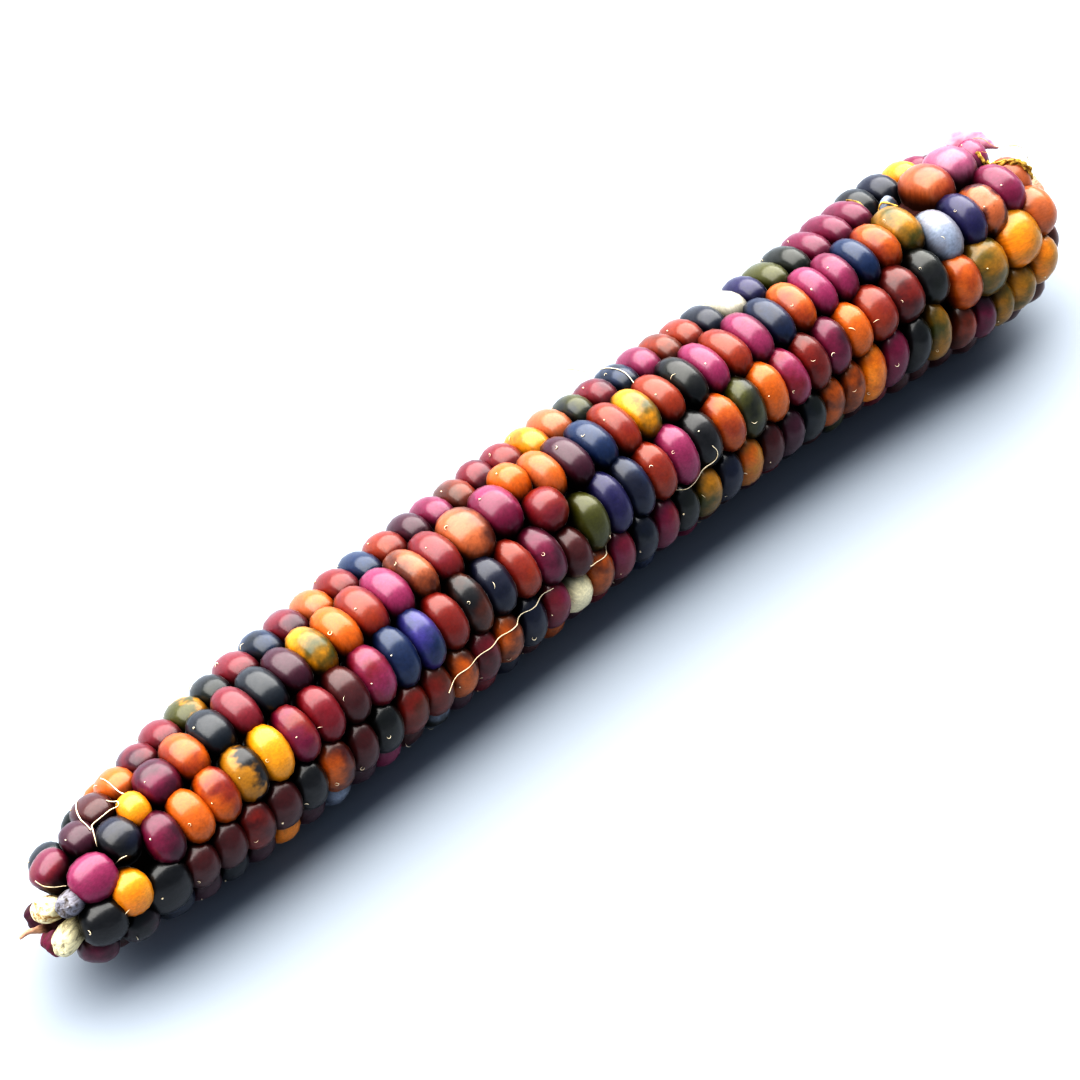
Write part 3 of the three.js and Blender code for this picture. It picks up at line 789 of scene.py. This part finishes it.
plant("tip_whorl", single_kernels(TIP_KERNELS), 60, *numbered("tip_kernel", len(TIP_KERNELS)),
      tilt_spread=0.12)
plant("inset_kernels", single_kernels(INSET_KERNELS, 0), 61, "wedged_kernel", "stray_kernel")
plant("dried_up_kernels", single_kernels(WITHERED_KERNELS, SHRIVELLED), 62,
      *numbered("withered_kernel", len(WITHERED_KERNELS)),
      skin=papery_kernel_skin, slot_name="withered_kernels", tilt_spread=0.2)
print("single kernels:", len(TIP_KERNELS) + len(WITHERED_KERNELS) + len(INSET_KERNELS))

# %% [markdown]
# ## The cob
# Under the kernels lies the woody cob, wrapped in chaff, the dry bracts that every kernel sits in. Only its
# dark rough surface shows between the kernels, and its two ends: the bare spike at the tip, and the stump of
# the broken shank. A cylinder could be bent and displaced, but rings whose radius follows the ear's own
# formulas fit it at once.

# %% The cob
COB_SIDES = 48
COB_RADIUS, COB_TAPER, COB_TAPER_LENGTH = 5.2, 3.3, 14
SPIKE_POINT, SPIKE_POINT_RADIUS, SPIKE_RISE = -2.65, 0.1, 2.0
CHAFF_DEPTH, CHAFF_ROUGHNESS = 5.4, 0.35
STUMP_START, STUMP_RADIUS = 175, 4.6
COB_STATIONS = [-2.7, -2.6, -2.2, -1.8, -1.4, -1.0, -0.6, -0.2] + [0.5 * i for i in range(375)]


def cob_radius(station):
    """The point of the spike, the bare cob, the cob in its chaff, and the stump, from the tip on."""
    if station < SPIKE_POINT:
        return SPIKE_POINT_RADIUS
    if station > STUMP_START:
        return STUMP_RADIUS - 0.4 * smooth(station, STUMP_START, 182) - 0.7 * smooth(station, 186.2, 187.0)
    wood = COB_RADIUS - COB_TAPER * math.exp(-max(0.0, station) / COB_TAPER_LENGTH)
    chaff = (crown_radius(station) - CHAFF_DEPTH) * smooth(station, 3, 9) * (1 - smooth(station, 168, 175))
    return max(wood * smooth(station, 0.0, 5.0), 0.18 + 0.42 * smooth(station, -3.4, 1.5), chaff)


mesh = bmesh.new()
dryness = mesh.verts.layers.float.new("dryness")
rings = []
for station in COB_STATIONS:
    rough = CHAFF_ROUGHNESS * smooth(station, -3.5, 4)
    centre = axis_point(station) + Vector((0, 0, SPIKE_RISE * smooth(-station, -1.5, 2.0)))
    rings.append([])
    for i in range(COB_SIDES):
        radial = radial_at(360 * i / COB_SIDES)
        place = centre + radial * cob_radius(station)
        place += radial * rough * noise.fractal(place * 0.9, 0.8, 2.0, 4)
        rings[-1].append(mesh.verts.new(place * MM))
        rings[-1][-1][dryness] = max(smooth(-station, -1.2, 0.2), smooth(station, 174, 177))
poles = [mesh.verts.new(sum((v.co for v in ring), Vector()) / COB_SIDES) for ring in (rings[0], rings[-1])]
for pole in poles:
    pole[dryness] = 1.0
bridge(mesh, [poles[:1], *rings, poles[1:]])
cob = smooth_object("woody_cob", mesh)

cob_wood, tree = new_material("chaffy_cob_wood")
fibres = grainy(tree, object_place(tree), scale=(400.0, 2600.0, 2600.0), detail=5.0, roughness=0.65)
chaff_colour = blend(tree, fibres, "#1c0a0c", "#5a2a26")
dry_colour = blend(tree, fibres, "#9a6a58", "#dcb79c")
finish_material(tree, {
    "Base Color": blend(tree, read(tree, "dryness", "Fac"), chaff_colour, dry_colour), "Roughness": 0.85,
    "Normal": relief(tree, fibres, strength=0.8, depth_in_mm=0.4)})
cob.data.materials.append(cob_wood)
hand_over(cob, "cob", "cob")
print("cob faces:", len(cob.data.polygons))

# %% [markdown]
# ## Resting on the kernels
# Silk, scars and scraps lie on kernels that have their own random size and tilt, so the form of the ear
# alone can't place them. A search tree over all kernel faces answers where a straight line in towards the
# ear first meets a kernel, and they are set down there.

# %% Resting on the kernels
REACH = 6.0                                # a ray starts this far out
BARE = -3.0                                # where it meets no kernel, the floor of the furrow

places, faces = [], []
for piece in kernel_pieces:
    start = len(places)
    places += [vert.co.copy() for vert in piece.data.vertices]
    faces += [[start + i for i in face.vertices] for face in piece.data.polygons]
kernel_faces = BVHTree.FromPolygons(places, faces)


def crown_place(station, angle, raised=0.0):
    radial, out, _ = directions(station, angle)
    return axis_point(station) + radial * crown_radius(station) + out * raised


def height_over_crown(station, angle):
    """How far above or below the even crown surface the kernels lie here, and which way they face."""
    out = directions(station, angle)[1]
    hit, facing, _, _ = kernel_faces.ray_cast(crown_place(station, angle, REACH) * MM, -out)
    if hit is None:
        return BARE, out
    return (hit / MM - crown_place(station, angle)).dot(out), facing


print("height over the crown at mid ear:", round(height_over_crown(90, 30)[0], 2))

# %% [markdown]
# ## Silk threads
# A strand of silk once ran to every kernel. A few dry ones are left, ivory hairs a fifth of a millimetre
# thick that lie over the crowns and bridge the furrows. Each route is draped like a slack string: its
# heights start on the kernels, and a few rounds of levelling lift it out of the furrows. A cloth simulation
# would be far slower.

# %% Silk threads
SILK_THICKNESS = 0.2
DRAPE_STEP = 0.3
SLACK_ROUNDS = 14
SILK_ROUTES = [
    # station, angle, and how far a loop stands off the kernels where it does
    [(58.6, 84), (60.4, 80.5), (62.5, 78.5), (66.8, 78), (70.9, 77), (75.3, 75.5), (79.2, 74)],
    [(89.5, 65), (90.3, 73), (89.4, 78), (87.5, 78), (84.9, 73)],
    [(109.4, 56), (110.0, 62), (109.5, 67), (108.0, 70), (106.5, 73), (105.0, 75.5), (103.3, 74)],
    [(101.5, -48, 5.0), (103.4, -46, 3.2), (105.6, -44, 1.5), (108.2, -42), (108.2, -30), (108.4, -20),
     (107.8, -11)],
    [(10.3, 28.5), (10.8, 29.3), (11.5, 31)],
    [(14.6, -19), (15.1, -9), (14.8, -4), (14.0, -10), (12.7, -12), (11.3, -13), (10.6, -5.5), (9.8, 4)],
    [(12.7, -42), (11.5, -33), (10.8, -22), (10.6, -12), (10.5, -7)],
    [(16.6, -39), (16.5, -29), (16.4, -18), (16.3, -8)],
    [(2.2, -23), (2.1, -18), (2.1, -13), (2.5, -5), (3.3, 2)],
]


def between(before, start, end, after, t):
    """A smooth curve through four neighbouring values, at a share t of the way from start to end."""
    return 0.5 * (2 * start + (end - before) * t + (2 * before - 5 * start + 4 * end - after) * t * t
                  + (3 * start - before - 3 * end + after) * t ** 3)


def fine_route(route):
    padded, places = [route[0], *route, route[-1]], []
    for a, b, c, d in zip(padded, padded[1:], padded[2:], padded[3:]):
        steps = max(2, round(math.hypot(c[0] - b[0], 0.22 * (c[1] - b[1])) / DRAPE_STEP))
        places += [[between(*values, k / steps) for values in zip(a, b, c, d)] for k in range(steps)]
    return places + [list(route[-1])]


def draped(route):
    places = fine_route([(*point, 0)[:3] for point in route])
    resting = [height_over_crown(station, angle)[0] + SILK_THICKNESS / 2 + lift
               for station, angle, lift in places]
    heights = list(resting)
    for _ in range(SLACK_ROUNDS):
        middles = [(a + b) / 2 for a, b in zip(heights, heights[2:])]
        heights[1:-1] = [max(low, middle) for low, middle in zip(resting[1:-1], middles)]
    return [crown_place(station, angle, height) for (station, angle, _), height in zip(places, heights)]


def threads(name, routes, thickness, material):
    curve = bpy.data.curves.new(name, "CURVE")
    curve.dimensions = "3D"
    curve.bevel_depth = thickness / 2 * MM
    curve.bevel_resolution = 1
    curve.resolution_u = 2
    curve.use_fill_caps = True
    for route in map(draped, routes):
        spline = curve.splines.new("NURBS")
        spline.points.add(len(route) - 1)
        for point, place in zip(spline.points, route):
            point.co = (*(place * MM), 1.0)
            point.radius = 0.8 + 0.4 * noise.noise(place * 0.7)
        spline.use_endpoint_u = True
        spline.order_u = 4
    piece = make_plain(add_object(name, curve), name)
    piece.data.materials.clear()
    piece.data.materials.append(material)
    return piece


silk_fibre, tree = new_material("dry_silk")
stretches = grainy(tree, object_place(tree), scale=900.0, detail=3.0, roughness=0.6)
finish_material(tree, {
    "Base Color": blend(tree, stretches, "#c3a878", "#fbf3dc"), "Sheen Weight": 0.3,
    "Roughness": spread(tree, stretches, (0.3, 0.7), (0.6, 0.4)),
    "Normal": relief(tree, stretches, strength=0.5, depth_in_mm=0.05)})

silk = threads("silk_strands", SILK_ROUTES, SILK_THICKNESS, silk_fibre)
hand_over(silk, "silk", *numbered("silk_thread", len(SILK_ROUTES)))
print("silk strands:", len(SILK_ROUTES), "faces:", len(silk.data.polygons))

# %% [markdown]
# ## Silk scars
# Where its silk came in, near the edge that faces the tip, a kernel keeps a tiny dry curl that catches the
# light as a white hook or fleck. Painted flecks would lie flat, so four small bent tubes are dealt out over
# the kernels by the tree that seated them.

# %% Silk scars
SCARRED_SHARE = 0.62
curls_collection = bpy.data.collections.new("curl_shapes")
scene.collection.children.link(curls_collection)


def curl_shape(name, sweep, radius, rise, thickness=0.13, steps=8, sides=5):
    """A tube bent round part of a circle, tapering to both ends, that starts at the origin."""
    mesh = bmesh.new()
    rings = []
    for k in range(steps + 1):
        turn = math.radians(sweep) * k / steps
        arched = math.sin(math.pi * k / steps)
        centre = Vector((radius * math.sin(turn), radius * (1 - math.cos(turn)), rise * arched))
        outward, up = Vector((math.sin(turn), -math.cos(turn), 0)), Vector((0, 0, 1))
        reach = thickness / 2 * (0.35 + 0.65 * arched)
        rings.append([mesh.verts.new(centre + (outward * math.cos(a) + up * math.sin(a)) * reach)
                      for a in (2 * math.pi * i / sides for i in range(sides))])
    bridge(mesh, rings)
    mesh.faces.new(rings[0])
    mesh.faces.new(rings[-1])
    return smooth_object(name, mesh, curls_collection)


curl_shapes = [
    curl_shape("curl_0_hook", 210, 0.26, 0.12),
    curl_shape("curl_1_bent_hair", 70, 0.75, 0.18, thickness=0.11),
    curl_shape("curl_2_fleck", 60, 0.26, 0.05, thickness=0.24, steps=5),
    curl_shape("curl_3_loop", 300, 0.22, 0.15, thickness=0.1, steps=11),
]
scar_dice = random.Random(7)


def silk_scar(kernel):
    """A curl lying on its kernel, about three quarters of the way from the middle to the tip-side edge."""
    inwards = scar_dice.uniform(0.62, 0.8) * kernel["half_length"] / PRESSED
    sideways = scar_dice.uniform(-0.45, 0.35) * kernel["half_width"]
    station = max(1.0, kernel["station"] - inwards)
    angle = kernel["angle"] + math.degrees(sideways / max(5.0, crown_radius(station)))
    height, facing = height_over_crown(station, angle)
    spun = Matrix.Rotation(scar_dice.uniform(0, 2 * math.pi), 3, "Z")
    turn = facing.to_track_quat("Z", "Y").to_matrix() @ spun
    size = scar_dice.uniform(0.75, 1.25) * MM
    return {**kernel, "centre": crown_place(station, angle, height + 0.03) * MM, "turn": turn.to_euler()[:],
            "size": (size, size, size), "shape": scar_dice.choice((0, 1, 2, 2, 3))}


scarred = [kernel for kernel in seated_kernels if scar_dice.random() < SCARRED_SHARE]
scars = seat("silk_scars", [silk_scar(kernel) for kernel in scarred], silk_fibre, seed=70,
             shapes=curls_collection)
hand_over(scars, "silk")
print("silk scars:", len(scarred), "faces:", len(scars.data.polygons))

# %% [markdown]
# ## Scraps at the butt
# Crumbled golden fibre of the husk clings to the butt with a straw and a few hairs, and a split kernel's
# skin stands up as a papery point. Strip and skin are flat grids along a short path. The Solidify modifier
# gives them their thickness, and noise frays their edges.

# %% Scraps at the butt
# Cuts through a strip: station, angle, height and half width.
HUSK_CUTS = [(177.2, -12, 0.0, 0.2), (177.6, -4, 0.1, 0.4), (177.9, 4, 0.2, 0.6), (178.7, 12, 0.3, 0.7),
             (179.8, 20, 0.3, 0.6), (181.3, 27, 0.5, 0.1)]
SKIN_CUTS = [(174.6, -28, -0.7, 1.2), (177.0, -27, -0.3, 1.9), (179.6, -23, -0.5, 1.5),
             (182.4, -17, -1.1, 0.1)]
STRAW = [(155.6, -33), (156.8, -25), (157.6, -16), (158.0, -9.5), (157.9, -2)]
HAIRS = [[(178.2, -20, 0.2), (179.4, -12, 1.2), (180.6, -2, 2.0), (181.4, 8, 2.2)],
         [(177.6, -10, 0.3), (178.8, -3, 1.2), (180.4, 6, 1.8), (182.2, 14, 2.0)],
         [(178.6, 2, 0.2), (179.6, 8, 0.9), (181.0, 14, 1.2), (182.8, 22, 1.6)]]


def scrap(name, cuts, upwards, thickness, arch, fray, material, steps=8, columns=11):
    """A strip through the cuts. Its width runs upwards, arched and frayed."""
    rows = []
    for k in range((len(cuts) - 1) * steps + 1):
        i = min(k // steps, len(cuts) - 2)
        t = k / steps - i
        here = [a + (b - a) * t for a, b in zip(cuts[i], cuts[i + 1])]
        ahead = [a + (b - a) * (t + 0.05) for a, b in zip(cuts[i], cuts[i + 1])]
        centre = crown_place(*here[:3])
        forwards = crown_place(*ahead[:3]) - centre
        out = forwards.cross(Vector(upwards)).normalized()
        side = out.cross(forwards).normalized()
        row = []
        for c in range(columns):
            u = 2 * c / (columns - 1) - 1
            frayed = here[3] * (1 + fray * noise.noise(Vector((k * 0.55, 4 * u, 3.1))))
            wrinkled = fray * 0.5 * noise.noise(Vector((k * 0.4, 2 * u, 8.2)))
            row.append((centre + side * u * frayed + out * (arch * (1 - u * u) + wrinkled)) * MM)
        rows.append(row)
    verts = [place for row in rows for place in row]
    faces = [(r * columns + c, r * columns + c + 1, (r + 1) * columns + c + 1, (r + 1) * columns + c)
             for r in range(len(rows) - 1) for c in range(columns - 1)]
    mesh = bpy.data.meshes.new(name)
    mesh.from_pydata(verts, [], faces)
    mesh.shade_smooth()
    mesh.materials.append(material)
    source = add_object(name + "_sheet", mesh)
    solidify = source.modifiers.new("thickness", "SOLIDIFY")
    solidify.thickness = thickness * MM
    solidify.offset = 0.0
    return make_plain(source, name)


def fibrous(name, dark, pale, stretch, roughness, depth_in_mm):
    """A dry plant material: fibres from stretched noise set its colour, its gloss and its relief."""
    made, tree = new_material(name)
    fibres = grainy(tree, object_place(tree), stretch, detail=5.0, roughness=0.65)
    finish_material(tree, {
        "Base Color": blend(tree, spread(tree, fibres, (0.32, 0.66)), dark, pale),
        "Roughness": spread(tree, fibres, (0.0, 1.0), (roughness + 0.12, roughness - 0.12)),
        "Normal": relief(tree, fibres, strength=0.7, depth_in_mm=depth_in_mm)})
    return made


def laid_down(cuts):
    """The same cuts with their heights counted from the kernels underneath."""
    return [(station, angle, max(BARE, height_over_crown(station, angle)[0]) + raised, width)
            for station, angle, raised, width in cuts]


husk_fibre = fibrous("golden_husk_fibre", "#5a4016", "#e0bc60", (1400.0, 900.0, 1400.0), 0.65, 0.2)
papery_skin = fibrous("papery_torn_skin", "#b8708a", "#e0aebb", (260.0, 700.0, 700.0), 0.42, 0.1)
crumbs = scrap("husk_fibre_strip", laid_down(HUSK_CUTS), (0, -0.3, 1), 0.16, 0.2, 1.2, husk_fibre)
hand_over(crumbs, "husk", "husk_scrap")
hand_over(threads("husk_straw", [STRAW], 0.34, husk_fibre), "husk")
hand_over(threads("husk_hairs", HAIRS, 0.08, husk_fibre), "husk")
skin = scrap("skin_curl", SKIN_CUTS, (0, 0.6, 0.8), 0.12, 0.5, 0.1, papery_skin)
hand_over(skin, "torn_skin", "torn_skin")
print("faces of the husk strip and the torn skin:", len(crumbs.data.polygons), len(skin.data.polygons))

# %% [markdown]
# ## Hand over
# The shapes that the tree drew from are no longer needed, since every row holds its own copies.

# %% Hand over
for shape in kernel_shapes + curl_shapes:
    bpy.data.objects.remove(shape)
bpy.data.collections.remove(shapes_collection)
bpy.data.collections.remove(curls_collection)
bpy.context.view_layer.update()
